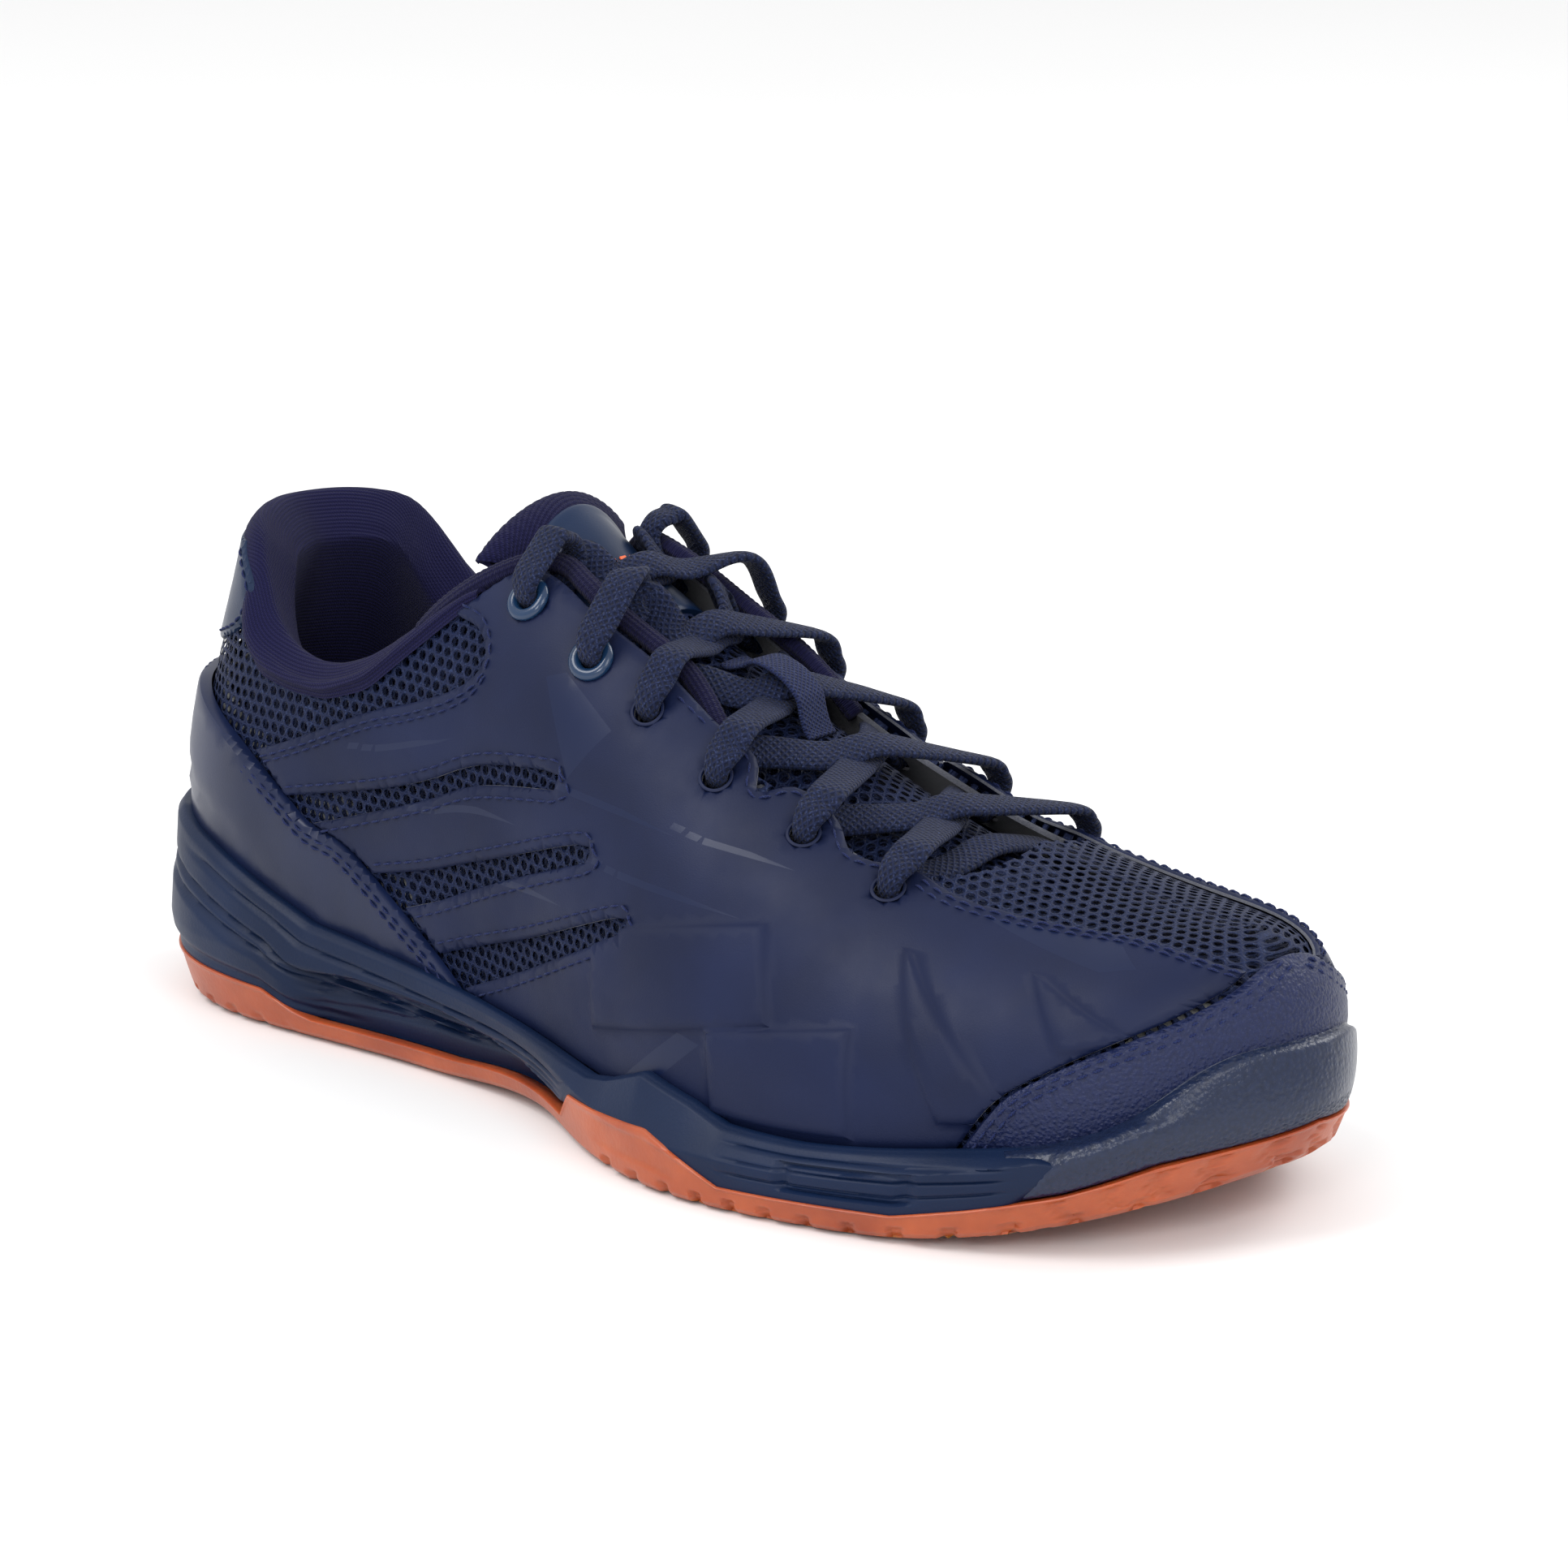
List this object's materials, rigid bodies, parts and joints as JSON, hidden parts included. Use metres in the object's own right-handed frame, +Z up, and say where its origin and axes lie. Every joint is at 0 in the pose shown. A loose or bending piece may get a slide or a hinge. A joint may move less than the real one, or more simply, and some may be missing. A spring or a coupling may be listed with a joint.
{
  "type": "court shoe",
  "caption": "Low-cut indoor court shoe for the right foot: layered mesh upper with wrapping overlays, laced throat, padded collar, rubber toe guard and wrapped gum outsole.",
  "frame": {"origin": "on the ground, under the middle of the bounding box", "axes": "+X from heel to toe, +Y towards the medial side, +Z up"},
  "size_m": [0.283, 0.112, 0.1098],
  "materials": {
    "gum_rubber": "satin, slightly translucent",
    "midsole_foam": "matte moulded foam",
    "gloss_shell": "glossy",
    "bumper_rubber": "glossy, fine grained",
    "coated_sheet": "satin synthetic leather",
    "grained_sheet": "grained synthetic leather",
    "open_mesh": "open hexagonal mesh",
    "knit": "ribbed knit",
    "lining": "soft brushed mesh",
    "foam": "soft open foam",
    "felt": "matte felt",
    "board": "stiff non-woven",
    "stiffener": "matte",
    "ring_plastic": "glossy",
    "webbing": "woven webbing",
    "lace_cord": "flat braid with pale flecks",
    "insole_cloth": "knitted cloth on foam"
  },
  "bodies": {
    "shoe": {"outsole": "gum_rubber", "midsole": "midsole_foam", "shank_plate": "gloss_shell", "heel_cushion": "gum_rubber", "forefoot_cushion": "gum_rubber", "toe_guard": "bumper_rubber", "strobel_board": "board", "vamp_mesh": "open_mesh", "quarter_mesh_lateral": "open_mesh", "quarter_mesh_medial": "open_mesh", "overlay_lateral": "coated_sheet", "overlay_medial": "coated_sheet", "toe_cap": "grained_sheet", "heel_counter": "gloss_shell", "heel_patch": "gloss_shell", "toe_puff": "stiffener", "heel_stiffener": "stiffener", "vamp_lining": "lining", "collar_lining": "knit", "collar_foam": "foam", "eyestay_backing_lateral": "felt", "eyestay_backing_medial": "felt", "throat_piping_lateral": "knit", "throat_piping_medial": "knit", "tongue_mesh": "open_mesh", "tongue_liner": "foam", "lace_loop": "webbing", "eyelet_ring_lateral_1": "ring_plastic", "eyelet_ring_lateral_2": "ring_plastic", "eyelet_ring_medial_1": "ring_plastic", "eyelet_ring_medial_2": "ring_plastic", "lace": "lace_cord", "aglet_lateral": "ring_plastic", "aglet_medial": "ring_plastic"},
    "tongue_top": {"tongue_knit": "knit", "tongue_foam": "foam", "tongue_patch": "coated_sheet"},
    "insole_body": {"insole": "insole_cloth"}
  },
  "joints": [
    {"name": "tongue_tilt", "type": "hinge", "parent": "shoe", "child": "tongue_top", "pos_m": [-0.0151, 0.0018, 0.08143], "axis": [0, 1, 0], "range_deg": [-10, 0], "stiffness_Nm_per_rad": 0.05},
    {"name": "insole_lift", "type": "hinge", "parent": "shoe", "child": "insole_body", "pos_m": [0.12253, 0.0043, 0.0245], "axis": [0, 1, 0], "range_deg": [0, 4]}
  ]
}
